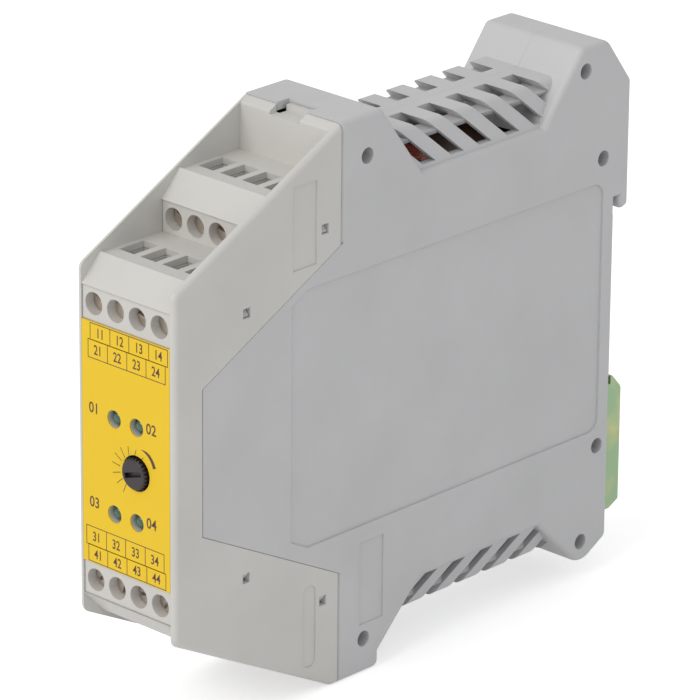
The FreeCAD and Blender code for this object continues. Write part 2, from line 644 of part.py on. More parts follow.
def tier_skin():
    """Hood and flat of the first tier, in section."""
    slope = HOOD_RUN / HOOD_RISE
    inner_shift = SKIN * math.hypot(HOOD_RUN, HOOD_RISE) / HOOD_RISE
    return [(0.0, HOOD_EDGE), (HOOD_RUN, HOOD_EDGE + HOOD_RISE, 0.3),
            (HOOD_RUN + RIDGE_RUN, FLAT_HEIGHT),
            (TIER_DEPTH_STEP + FACE_RECESS - LABEL_GAP, FLAT_HEIGHT),
            (TIER_DEPTH_STEP + FACE_RECESS - LABEL_GAP, SKIN_UNDER),
            (inner_shift + (SKIN_UNDER - HOOD_EDGE) * slope, SKIN_UNDER),
            (inner_shift, HOOD_EDGE)]


def entry_holes(tier):
    """Rectangular wire entries through a tier's flat."""
    holes = []
    for x in POLE_X:
        hole = box(x - ENTRY_WIDTH / 2, x + ENTRY_WIDTH / 2, ENTRY_START, ENTRY_END,
                   SKIN_UNDER - 1, FLAT_HEIGHT + 1)
        holes.append(hole if tier == 0 else second_tier(hole))
    return holes


def cover_half_skin(land):
    """Stepped skin between the cover's side walls, top half, up to the height of a land."""
    reach = COVER_INNER + 0.2
    rear = SEAM_DEPTH - SEAM_GAP
    first = side_plate(tier_skin(), -reach, reach)
    second = second_tier(first)
    second_flat = FLAT_HEIGHT + TIER_HEIGHT_STEP
    wall_front = COVER_FRONT_WALL
    start = 2 * TIER_DEPTH_STEP - 1
    wall = side_plate([(start, second_flat), (wall_front, second_flat),
                       (wall_front, land - CREST_CHAMFER, CREST_CHAMFER / 2), (rear, land),
                       (rear, land - 2 * SKIN), (wall_front + SKIN, land - 2 * SKIN),
                       (wall_front + SKIN, second_flat - SKIN), (start, second_flat - SKIN)],
                      -reach, reach)
    skin = joined([first, second, wall])
    for tier in range(2):
        for hole in entry_holes(tier):
            skin = skin.cut(hole)
    return skin


def cover_catch(land):
    """Catch of the cover that shows in the release notch: a shelf with a raised end."""
    floor = land - NOTCH_SINK
    foot = floor - CATCH_THICKNESS
    start = COVER_FRONT_WALL + SKIN / 2
    end = COVER_FRONT_WALL + NOTCH_DEPTH - CATCH_GAP
    return side_plate([(start, foot), (start, floor), (end - CATCH_NOSE, floor),
                       (end - CATCH_NOSE, floor + CATCH_RISE), (end, floor + CATCH_RISE), (end, foot)],
                      CATCH_LEFT, CATCH_RIGHT)


def front_cover():
    body = side_plate(COVER_OUTLINE, -HALF_WIDTH, HALF_WIDTH)
    seam_points = [(d - SEAM_GAP, h) for d, h in SEAM]
    for x in (HALF_WIDTH, -HALF_WIDTH):
        body = round_side_edges(body, x, SEAM_DEPTH - 2 * SEAM_GAP, seam_points)
    body = body.cut(box(-COVER_INNER, COVER_INNER, -1, SEAM_DEPTH + 1, -LAND_HEIGHT - 1, COVER_CREST + 1))
    plate = box(-COVER_INNER - 0.2, COVER_INNER + 0.2, LABEL_THICKNESS, PLATE_REAR,
                -LABEL_HALF_HEIGHT, LABEL_HALF_HEIGHT)
    body = body.fuse(plate)
    for crest, land, bottom in ((COVER_CREST, TOP_LAND_HEIGHT, False),
                                (LAND_HEIGHT, LAND_HEIGHT, True)):
        skin = cover_half_skin(crest)
        skin = skin.cut(release_notch(COVER_FRONT_WALL - 1, land)).fuse(cover_catch(land))
        body = body.fuse(upside_down(skin) if bottom else skin)
    for x, h in LED_PLACES:
        body = body.cut(rod(x, -1, PLATE_REAR + 1, h, LED_DIAMETER / 2 + LED_HOLE_CLEARANCE))
    body = body.cut(rod(KNOB_X, -1, PLATE_REAR + 1, KNOB_HEIGHT, KNOB_DIAMETER / 2 + KNOB_CLEARANCE))
    for d, h in snap_places():
        window = box(-HALF_WIDTH - 1, HALF_WIDTH + 1, d - SNAP_WINDOW_DEPTH / 2, d + SNAP_WINDOW_DEPTH / 2,
                     h - SNAP_WINDOW_HEIGHT / 2, h + SNAP_WINDOW_HEIGHT / 2)
        body = body.cut(window).cut(upside_down(window))
    upper_field = box(HALF_WIDTH - FIELD_SINK, HALF_WIDTH + 1, *COVER_UPPER_FIELD)
    d0, d1, h0, h1 = COVER_LOWER_FIELD
    end_round = (d1 - d0) / 2 - 0.05
    lower_field = side_plate([(d0, h1, end_round), (d1, h1, end_round), (d1, h0, end_round),
                              (d0, h0, end_round)], HALF_WIDTH - FIELD_SINK, HALF_WIDTH + 1)
    for field in (upper_field, lower_field):
        body = body.cut(field).cut(other_side(field))
    return body.removeSplitter()


def front_label():
    half = COVER_INNER - LABEL_GAP
    sheet = box(-half, half, 0, LABEL_THICKNESS, -LABEL_HALF_HEIGHT, LABEL_HALF_HEIGHT)
    for x, h in LED_PLACES:
        sheet = sheet.cut(rod(x, -1, 1, h, LED_DIAMETER / 2 + LED_HOLE_CLEARANCE))
    return sheet.cut(rod(KNOB_X, -1, 1, KNOB_HEIGHT, KNOB_DIAMETER / 2 + KNOB_CLEARANCE))


# ---------------------------------------------------------------- terminals, drawn in the first tier

def terminal_block():
    face = FACE_RECESS
    slope = HOOD_RUN / HOOD_RISE
    inner_shift = SKIN * math.hypot(HOOD_RUN, HOOD_RISE) / HOOD_RISE + BLOCK_CLEARANCE
    top = SKIN_UNDER - BLOCK_CLEARANCE
    foot = PLATE_REAR + BLOCK_CLEARANCE
    half = COVER_INNER - BLOCK_CLEARANCE
    low = LABEL_HALF_HEIGHT + BLOCK_CLEARANCE
    body = side_plate([(foot, BLOCK_FLOOR), (foot, low), (face, low), (face, HOOD_EDGE - BLOCK_CLEARANCE),
                       (inner_shift, HOOD_EDGE - BLOCK_CLEARANCE),
                       (inner_shift + (top - HOOD_EDGE) * slope, top),
                       (BLOCK_DEPTH, top), (BLOCK_DEPTH, BLOCK_FLOOR)], -half, half)
    cage_room = CAGE_WIDTH / 2 + CAGE_CLEARANCE
    room_top = SCREW_HEIGHT + CAGE_HEIGHT / 2 + CAGE_CLEARANCE
    room_bottom = SCREW_HEIGHT - CAGE_HEIGHT / 2 - CAGE_CLEARANCE
    for x in POLE_X:
        body = body.cut(rod(x, face - 1, HEAD_REAR + TURNING_CLEARANCE, SCREW_HEIGHT, SCREW_HOLE / 2))
        body = body.cut(rod(x, face, CAVITY_START + 0.5, SCREW_HEIGHT,
                            SHANK_DIAMETER / 2 + TURNING_CLEARANCE))
        body = body.cut(box(x - cage_room, x + cage_room, CAVITY_START, CAVITY_END, room_bottom, room_top))
        funnel_reach = ENTRY_WIDTH / 2 - 0.15
        funnel = side_plate([(ENTRY_START + FUNNEL_NARROWING, room_top - 0.1),
                             (ENTRY_START, top + 0.1), (ENTRY_END, top + 0.1),
                             (ENTRY_END, room_top - 0.1)], x - funnel_reach, x + funnel_reach)
        body = body.cut(funnel)
        bar_reach = BAR_WIDTH / 2 + LABEL_GAP
        body = body.cut(box(x - bar_reach, x + bar_reach, BAR_FRONT - LABEL_GAP, BAR_REAR + LABEL_GAP,
                            BLOCK_FLOOR - 1, room_bottom + 0.1))
    return body.removeSplitter()


def contact_bars():
    """Four current bars of a block, with tails that turn to the main board, each at its own level."""
    room_top = SCREW_HEIGHT + CAGE_HEIGHT / 2 + CAGE_CLEARANCE
    bars = []
    for pole, x in enumerate(POLE_X):
        level = BLOCK_FLOOR - 0.6 - TAIL_PITCH * pole
        right = x + BAR_WIDTH / 2
        blade = box(x - BAR_WIDTH / 2, right, BAR_FRONT, BAR_REAR, BLOCK_FLOOR - 0.3, room_top)
        left = max(right - TAIL_WIDTH, MAIN_BOARD_FACE)
        drop = box(left, right, BAR_FRONT, BAR_REAR, level - TAIL_WIDTH, BLOCK_FLOOR)
        leg = box(MAIN_BOARD_FACE, right, BAR_FRONT, BAR_REAR, level - TAIL_WIDTH, level)
        bars.append(joined([blade, drop, leg]))
    return bars


def terminal_screw(pole):
    x = POLE_X[pole]
    head = rod(x, HEAD_RECESS, HEAD_REAR, SCREW_HEIGHT, HEAD_DIAMETER / 2)
    slot = box(x - HEAD_DIAMETER, x + HEAD_DIAMETER, HEAD_RECESS - 1, HEAD_RECESS + HEAD_SLOT_DEPTH,
               SCREW_HEIGHT - HEAD_SLOT / 2, SCREW_HEIGHT + HEAD_SLOT / 2)
    slot.rotate(Vector(x, 0, SCREW_HEIGHT), Vector(0, 1, 0), SLOT_ANGLES[pole % len(SLOT_ANGLES)])
    shank = rod(x, HEAD_REAR - 0.1, BAR_FRONT - 0.15, SCREW_HEIGHT, SHANK_DIAMETER / 2)
    return head.cut(slot).fuse(shank).removeSplitter()


def clamp_cage(pole):
    """Rising clamp: a rectangular loop that the screw draws towards its head."""
    x = POLE_X[pole]
    half, low, high = CAGE_WIDTH / 2, SCREW_HEIGHT - CAGE_HEIGHT / 2, SCREW_HEIGHT + CAGE_HEIGHT / 2
    cage = box(x - half, x + half, CAGE_FRONT, CAGE_REAR, low, high)
    window = box(x - half + CAGE_SIDE_WALL, x + half - CAGE_SIDE_WALL,
                 CAGE_FRONT + CAGE_END_WALL, CAGE_REAR - CAGE_END_WALL, low - 1, high + 1)
    bore = rod(x, CAGE_FRONT - 1, CAGE_FRONT + CAGE_END_WALL + 1, SCREW_HEIGHT,
               SHANK_DIAMETER / 2 + THREAD_CLEARANCE)
    return cage.cut(window).cut(bore)


# ---------------------------------------------------------------- knob, lamps and boards

def time_knob():
    rear = KNOB_THICKNESS - KNOB_PROUD
    knob = rod(KNOB_X, -KNOB_PROUD, rear, KNOB_HEIGHT, KNOB_DIAMETER / 2)
    rim = [e for e in knob.Edges if abs(e.BoundBox.YMax + KNOB_PROUD) < 1e-6 and e.Length > KNOB_DIAMETER]
    knob = knob.makeChamfer(0.35, rim)
    for i in range(KNURL_COUNT):
        turn = 2 * math.pi * i / KNURL_COUNT
        groove = rod(KNOB_X + math.cos(turn) * KNOB_DIAMETER / 2, -KNOB_PROUD - 1, rear + 1,
                     KNOB_HEIGHT + math.sin(turn) * KNOB_DIAMETER / 2, KNURL_DIAMETER / 2)
        knob = knob.cut(groove)
    slot = box(KNOB_X - KNOB_SLOT_LENGTH / 2, KNOB_X + KNOB_SLOT_LENGTH / 2,
               -KNOB_PROUD - 1, -KNOB_PROUD + KNOB_SLOT_DEPTH,
               KNOB_HEIGHT - KNOB_SLOT_WIDTH / 2, KNOB_HEIGHT + KNOB_SLOT_WIDTH / 2)
    slot.rotate(Vector(KNOB_X, 0, KNOB_HEIGHT), Vector(0, 1, 0), -KNOB_SLOT_ANGLE)
    shaft_end = FRONT_BOARD_DEPTH - POT_BORE_FLOOR - 0.3
    shaft = rod(KNOB_X, rear - 0.1, shaft_end, KNOB_HEIGHT, SHAFT_DIAMETER / 2)
    return knob.cut(slot).fuse(shaft).removeSplitter()


def setting_potentiometer():
    half = POT_SIZE / 2
    body = box(KNOB_X - half, KNOB_X + half, POT_FRONT, FRONT_BOARD_DEPTH,
               KNOB_HEIGHT - half, KNOB_HEIGHT + half)
    return body.cut(rod(KNOB_X, POT_FRONT - 1, FRONT_BOARD_DEPTH - POT_BORE_FLOOR, KNOB_HEIGHT,
                        SHAFT_DIAMETER / 2 + SHAFT_CLEARANCE))


def status_leds():
    leds = []
    radius = LED_DIAMETER / 2
    for x, h in LED_PLACES:
        barrel = rod(x, LED_RECESS + radius, FRONT_BOARD_DEPTH, h, radius)
        dome = Part.makeSphere(radius, Vector(x, LED_RECESS + radius, h))
        flange = rod(x, FRONT_BOARD_DEPTH - LED_FLANGE_THICKNESS, FRONT_BOARD_DEPTH, h, LED_FLANGE / 2)
        leds.append(joined([barrel, dome, flange]))
    return Part.makeCompound(leds)


def main_board():
    """Main circuit board, stepped to pass under the terminal blocks."""
    step_h = BLOCK_FLOOR - BOARD_MARGIN
    step_d = BLOCK_DEPTH + BOARD_MARGIN
    second_d = step_d + TIER_DEPTH_STEP
    second_h = step_h + TIER_HEIGHT_STEP - BOARD_STEP
    top = [(MAIN_BOARD_START, step_h), (step_d + BOARD_STEP, step_h),
           (step_d + BOARD_STEP, second_h), (second_d, second_h),
           (second_d + BOARD_CORNER_STEP, MAIN_BOARD_HALF_HEIGHT - BOARD_CORNER_STEP),
           (second_d + BOARD_CORNER_STEP, MAIN_BOARD_HALF_HEIGHT),
           (MAIN_BOARD_END, MAIN_BOARD_HALF_HEIGHT)]
    points = top + [(d, -h) for d, h in reversed(top)]
    return side_plate(points, MAIN_BOARD_BACK, MAIN_BOARD_FACE)


def front_board():
    return box(MAIN_BOARD_BACK, FRONT_BOARD_RIGHT, FRONT_BOARD_DEPTH, MAIN_BOARD_START,
               FRONT_BOARD_BOTTOM, FRONT_BOARD_TOP)


def board_header():
    """Angle header that joins the two boards."""
    return box(MAIN_BOARD_FACE, MAIN_BOARD_FACE + HEADER_SIZE, MAIN_BOARD_START,
               MAIN_BOARD_START + HEADER_SIZE, FRONT_BOARD_BOTTOM + HEADER_INSET,
               FRONT_BOARD_TOP - HEADER_INSET)


def relay(column, row):
    """Sealed relay on the main board."""
    start = RELAY_START + (RELAY_LENGTH + RELAY_SPACE) * column
    low = RELAY_INNER_HEIGHT
    body = box(MAIN_BOARD_FACE, MAIN_BOARD_FACE + RELAY_THICKNESS, start, start + RELAY_LENGTH,
               low, low + RELAY_HEIGHT)
    far = MAIN_BOARD_FACE + RELAY_THICKNESS
    rim = [e for e in body.Edges if e.BoundBox.XMin > far - 1e-6 or e.Vertexes[0].X != e.Vertexes[1].X]
    body = body.makeFillet(RELAY_ROUND, rim)
    return body if row == 0 else upside_down(body)


def transformer():
    half = TRANSFORMER_HEIGHT / 2
    core = box(MAIN_BOARD_FACE, MAIN_BOARD_FACE + TRANSFORMER_THICKNESS, TRANSFORMER_START,
               TRANSFORMER_START + TRANSFORMER_LENGTH, -half, half)
    far = MAIN_BOARD_FACE + TRANSFORMER_THICKNESS
    window = box(far - COIL_WINDOW_DEPTH, far + 1,
                 TRANSFORMER_START + COIL_MARGIN, TRANSFORMER_START + TRANSFORMER_LENGTH - COIL_MARGIN,
                 -half + COIL_MARGIN, half - COIL_MARGIN)
    coil = cross_rod(MAIN_BOARD_FACE + 1, far - 0.5,
                     TRANSFORMER_START + TRANSFORMER_LENGTH / 2, 0, half - COIL_MARGIN - 0.5)
    return core.cut(window).fuse(coil).removeSplitter()


def electrolytic_capacitors():
    cans = []
    for h in (-CAN_PITCH / 2, CAN_PITCH / 2):
        can = cross_rod(MAIN_BOARD_FACE, MAIN_BOARD_FACE + CAN_LENGTH, CAN_DEPTH, h, CAN_DIAMETER / 2)
        rims = [e for e in can.Edges if e.BoundBox.XMax - e.BoundBox.XMin < 1e-6]
        cans.append(can.makeFillet(0.5, rims))
    return Part.makeCompound(cans)


def film_capacitor():
    """Suppression capacitor, upright between the two upper relays."""
    start = RELAY_START + RELAY_LENGTH + FILM_GAP
    high = MAIN_BOARD_HALF_HEIGHT
    return box(MAIN_BOARD_FACE, MAIN_BOARD_FACE + FILM_THICKNESS,
               start, start + RELAY_SPACE - 2 * FILM_GAP, high - FILM_HEIGHT, high)


# ---------------------------------------------------------------- foot latch

def foot_latch():
    """Metal slider that grips the rail's lower flange, captive in the rear wall."""
    plate = side_plate([(LATCH_FRONT, -LATCH_BOTTOM), (LATCH_FRONT, RAIL_BOTTOM),
                        (FLANGE_DEPTH, RAIL_BOTTOM), (FLANGE_DEPTH, LATCH_TOP),
                        (FLANGE_DEPTH + 0.4, LATCH_TOP),
                        (LATCH_REAR, LATCH_TOP - LATCH_LEAD, 1.2), (LATCH_REAR, -LATCH_BOTTOM + 1.2, 0.4),
                        (FLANGE_DEPTH + 0.3, -LATCH_BOTTOM)], -LATCH_WIDTH / 2, LATCH_WIDTH / 2)
    neck_front = REAR_WALL_INNER - LATCH_GAP
    neck = box(-NECK_WIDTH / 2, NECK_WIDTH / 2, neck_front - 0.5, LATCH_FRONT + 0.5,
               -NECK_BOTTOM, -NECK_TOP)
    head = box(-HEAD_PLATE_WIDTH / 2, HEAD_PLATE_WIDTH / 2, neck_front - HEAD_PLATE_DEPTH, neck_front,
               -NECK_BOTTOM - HEAD_PLATE_MARGIN, -NECK_TOP + HEAD_PLATE_MARGIN)
    pull_high = -LATCH_BOTTOM + PULL_SLOT_EDGE + PULL_SLOT_HEIGHT
    pull = box(-PULL_SLOT_WIDTH / 2, PULL_SLOT_WIDTH / 2, LATCH_FRONT - 1, LATCH_REAR + 1,
               pull_high - PULL_SLOT_HEIGHT, pull_high)
    return joined([plate, neck, head]).cut(pull)


def latch_spring():
    """Compression spring between the shelf in the housing and the latch."""
    low = -SPRING_SEAT + SPRING_END_GAP + SPRING_WIRE / 2
    high = -NECK_BOTTOM - HEAD_PLATE_MARGIN - SPRING_END_GAP - SPRING_WIRE / 2
    pitch = (high - low) / SPRING_COILS
    helix = Part.makeHelix(pitch, high - low, SPRING_RADIUS)
    start = Vector(SPRING_RADIUS, 0, 0)
    ring = Part.Wire(Part.makeCircle(SPRING_WIRE / 2, start, Vector(0, 1, 0)))
    coil = Part.Wire(helix).makePipeShell([ring], True, True)
    coil.translate(Vector(0, REAR_WALL_INNER - LATCH_GAP - HEAD_PLATE_DEPTH / 2, low))
    return coil


# ---------------------------------------------------------------- write every part

def main():
    export("housing_left", housing_half(-1))
    export("housing_right", housing_half(1))
    export("front_cover", front_cover())
    export("front_label", front_label())

    block = terminal_block()
    bars = Part.makeCompound(contact_bars())
    places = {"top_front": (False, False), "top_rear": (True, False),
              "bottom_front": (False, True), "bottom_rear": (True, True)}
    for place, (rear, bottom) in places.items():
        def placed(shape):
            moved = second_tier(shape) if rear else shape
            return upside_down(moved) if bottom else moved
        export("terminal_block_" + place, placed(block))
        export("contact_bars_" + place, placed(bars))
        for pole in range(POLES):
            export("terminal_screw_%s_%d" % (place, pole + 1), placed(terminal_screw(pole)))
            export("clamp_cage_%s_%d" % (place, pole + 1), placed(clamp_cage(pole)))

    export("main_board", main_board())
    export("front_board", front_board())
    export("board_header", board_header())
    export("status_leds", status_leds())
    export("setting_potentiometer", setting_potentiometer())
    export("time_knob", time_knob())
    for column in range(2):
        for row in range(2):
            export("relay_%d" % (2 * column + row + 1), relay(column, row))
    export("transformer", transformer())
    export("electrolytic_capacitors", electrolytic_capacitors())
    export("film_capacitor", film_capacitor())
    export("foot_latch", foot_latch())
    export("latch_spring", latch_spring())


main()
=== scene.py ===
# %% [markdown]
# # A safety relay for a 35 mm rail
#
# The real object is a slim terminal module for a control cabinet: two moulded housing shells, a
# stepped front cover with screw terminals, a printed yellow label with lamps and a time knob, and a
# metal foot latch that grips the rail.  The construction arrives as a fixed frame from CAD, in
# metres, with +X across the module, +Y towards the rail and +Z up.  Shapes that are already right
# stay as they are and get a finish.  What the frame can't hold, such as ink, is modelled here.

# %% Load the frame
import math

import bmesh
import bpy
from mathutils import Matrix, Vector


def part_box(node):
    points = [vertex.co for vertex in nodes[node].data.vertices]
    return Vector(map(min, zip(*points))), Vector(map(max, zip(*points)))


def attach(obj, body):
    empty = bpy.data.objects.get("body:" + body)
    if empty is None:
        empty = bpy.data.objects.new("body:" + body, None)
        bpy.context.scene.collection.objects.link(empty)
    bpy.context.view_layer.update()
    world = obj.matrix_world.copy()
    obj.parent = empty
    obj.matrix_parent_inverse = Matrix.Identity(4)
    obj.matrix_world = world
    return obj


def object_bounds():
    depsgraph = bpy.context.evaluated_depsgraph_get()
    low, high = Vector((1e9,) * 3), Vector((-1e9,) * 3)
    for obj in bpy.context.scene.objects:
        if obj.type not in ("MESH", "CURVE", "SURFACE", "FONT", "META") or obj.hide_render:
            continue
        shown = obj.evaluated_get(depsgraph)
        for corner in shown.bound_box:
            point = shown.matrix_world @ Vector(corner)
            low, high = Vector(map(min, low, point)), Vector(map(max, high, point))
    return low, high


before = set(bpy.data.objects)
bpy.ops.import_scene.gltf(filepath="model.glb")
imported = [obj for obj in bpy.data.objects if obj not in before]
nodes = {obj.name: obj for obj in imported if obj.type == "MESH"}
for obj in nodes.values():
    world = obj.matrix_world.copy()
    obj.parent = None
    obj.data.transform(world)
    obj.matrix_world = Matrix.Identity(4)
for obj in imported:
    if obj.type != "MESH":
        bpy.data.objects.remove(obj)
cad_box = [list(corner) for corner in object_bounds()]
MM = 0.001                  # the frame is in metres, and sizes here are in millimetres
print(len(nodes), "nodes; size in mm:", [round((b - a) / MM, 1) for a, b in zip(*cad_box)])

# %% [markdown]
# ## Colour management
#
# The Standard view transform shows a colour about as it is written, which is what a catalogue
# picture of a grey plastic housing needs.  Filmic curves would dull the yellow of the label.

# %% Plain view transform
scene = bpy.context.scene
scene.view_settings.view_transform = "Standard"
print("view transform:", scene.view_settings.view_transform)

# %% [markdown]
# ## The camera
#
# A long lens from about a metre away keeps the edges of the housing nearly parallel.  The camera is
# placed from an azimuth, an elevation and a distance round a point in the module's middle, because
# those are the numbers that a photographer sets.  Azimuth 0 looks at the front face.

# %% Camera on its tripod
AZIMUTH, ELEVATION, ROLL = (math.radians(v) for v in (43.338, 21.438, 0.517))
DISTANCE = 958.725 * MM
ASIDE, ABOVE = -2.977 * MM, 2.356 * MM
LENS = 292.318
SENSOR = 36.0
CLIP_NEAR, CLIP_FAR = 0.05, 20.0
MODULE_MIDDLE = (0.0, -50.0, -2.3)      # mid-depth and mid-height of the housing

aim = Vector(MODULE_MIDDLE) * MM
back = Vector((math.sin(AZIMUTH) * math.cos(ELEVATION), -math.cos(AZIMUTH) * math.cos(ELEVATION),
               math.sin(ELEVATION)))
level_right = Vector((math.cos(AZIMUTH), math.sin(AZIMUTH), 0.0))
level_up = back.cross(level_right)
right = level_right * math.cos(ROLL) + level_up * math.sin(ROLL)
up = level_up * math.cos(ROLL) - level_right * math.sin(ROLL)
place = aim + right * ASIDE + up * ABOVE + back * DISTANCE

camera = bpy.data.objects.new("camera", bpy.data.cameras.new("camera"))
scene.collection.objects.link(camera)
camera.matrix_world = Matrix.Translation(place) @ Matrix((right, up, back)).transposed().to_4x4()
camera.data.sensor_width = SENSOR
camera.data.lens = LENS
camera.data.clip_start, camera.data.clip_end = CLIP_NEAR, CLIP_FAR
scene.camera = camera
print("camera at", [round(v, 3) for v in place], "lens", LENS)

# %% [markdown]
# ## Floor and surroundings
#
# The module stands on a plain white sheet.  Its material adds a little light that only the camera,
# glossy and transmitted rays see, so that the sheet comes out white while the object itself is lit
# at a plain level.  The sheet stays a diffuse surface, so it still takes the object's shadow.

# %% What the camera and reflections see
def seen_only(tree):
    """1 where a ray comes from the camera, a reflection or a refraction, and 0 for diffuse rays."""
    path = tree.nodes.new("ShaderNodeLightPath")
    either = tree.nodes.new("ShaderNodeMath")
    either.operation = "MAXIMUM"
    either.inputs[1].default_value = 0.0
    tree.links.new(path.outputs["Is Camera Ray"], either.inputs[0])
    tree.links.new(path.outputs["Is Glossy Ray"], either.inputs[1])
    both = tree.nodes.new("ShaderNodeMath")
    both.operation = "MAXIMUM"
    tree.links.new(either.outputs[0], both.inputs[0])
    tree.links.new(path.outputs["Is Transmission Ray"], both.inputs[1])
    return both.outputs[0]


# %% The sheet's material
SHEET_WHITE = (0.86, 0.86, 0.86, 1.0)
SHEET_GLOW = 0.5


def white_sheet_material():
    material = bpy.data.materials.new("white_sheet")
    material.use_nodes = True
    tree = material.node_tree
    tree.nodes.clear()
    diffuse = tree.nodes.new("ShaderNodeBsdfDiffuse")
    diffuse.inputs["Color"].default_value = SHEET_WHITE
    share = tree.nodes.new("ShaderNodeMath")
    share.operation = "MULTIPLY"
    share.inputs[1].default_value = SHEET_GLOW
    tree.links.new(seen_only(tree), share.inputs[0])
    glow = tree.nodes.new("ShaderNodeEmission")
    tree.links.new(share.outputs[0], glow.inputs["Strength"])
    total = tree.nodes.new("ShaderNodeAddShader")
    tree.links.new(diffuse.outputs[0], total.inputs[0])
    tree.links.new(glow.outputs[0], total.inputs[1])
    output = tree.nodes.new("ShaderNodeOutputMaterial")
    tree.links.new(total.outputs[0], output.inputs["Surface"])
    return material


# %% The sheet itself
def finished_object(name, mesh_maker, material):
    """A new mesh object at the origin, with its place in its mesh."""
    mesh = bpy.data.meshes.new(name)
    work = bmesh.new()
    mesh_maker(work)
    work.to_mesh(mesh)
    work.free()
    mesh.materials.append(material)
    item = bpy.data.objects.new(name, mesh)
    scene.collection.objects.link(item)
    return item


SHEET_HALF = 4.0                    # metres
floor_height = cad_box[0][2]


def sheet_mesh(work):
    bmesh.ops.create_grid(work, x_segments=1, y_segments=1, size=SHEET_HALF)
    bmesh.ops.translate(work, verts=work.verts, vec=(0.0, 0.0, floor_height))


sheet = finished_object("white_sheet", sheet_mesh, white_sheet_material())
print("sheet at", round(floor_height / MM, 2), "mm")

# %% The room round it
ROOM_LIGHT = (0.985, 0.99, 1.0, 1.0)
ROOM_STRENGTH = 0.62
world = bpy.data.worlds.new("soft_room")
scene.world = world
world.use_nodes = True
room = world.node_tree
room.nodes.clear()
room_light = room.nodes.new("ShaderNodeBackground")
room_light.inputs["Color"].default_value = ROOM_LIGHT
room_light.inputs["Strength"].default_value = ROOM_STRENGTH
room_white = room.nodes.new("ShaderNodeBackground")
room_mix = room.nodes.new("ShaderNodeMixShader")
room.links.new(seen_only(room), room_mix.inputs["Fac"])
room.links.new(room_light.outputs[0], room_mix.inputs[1])
room.links.new(room_white.outputs[0], room_mix.inputs[2])
room_output = room.nodes.new("ShaderNodeOutputWorld")
room.links.new(room_mix.outputs[0], room_output.inputs["Surface"])
print("room strength", ROOM_STRENGTH)

# %% [markdown]
# ## Lamps
#
# One large soft lamp stands in front of the module and above it.  It reaches the front, the bottoms
# of the screw holes and every face that looks up, and only grazes the large side.  A weaker lamp on
# the right lights that side, which stays a shade darker, so the steps of the cover read clearly.

# %% Soft boxes
def soft_box(name, direction, distance, size, power, colour):
    """A square lamp that looks at the module's middle.  Metres and watts."""
    lamp = bpy.data.objects.new(name, bpy.data.lights.new(name, "AREA"))
    scene.collection.objects.link(lamp)
    away = Vector(direction).normalized()
    facing = away.to_track_quat("Z", "Y").to_matrix().to_4x4()
    lamp.matrix_world = Matrix.Translation(aim + away * distance) @ facing
    lamp.data.shape = "SQUARE"
    lamp.data.size = size
    lamp.data.energy = power
    lamp.data.color = colour
    return lamp


soft_box("key_box", direction=(-0.10, -0.78, 0.60), distance=1.5, size=1.1, power=9.0,
         colour=(1.0, 0.985, 0.95))
soft_box("side_box", direction=(1.0, -0.15, 0.25), distance=2.2, size=1.2, power=1.6,
         colour=(0.97, 0.98, 1.0))

# %% [markdown]
# ## Finishes
#
# Every finish is built from the object's own coordinates, so the grain keeps its real scale on
# every piece.  A broad, faint cloud varies the colour, a fine grain gives the bump and the gloss,
# and the shader's own bevel softens edges that the tool left sharp, as wear does on a mould.

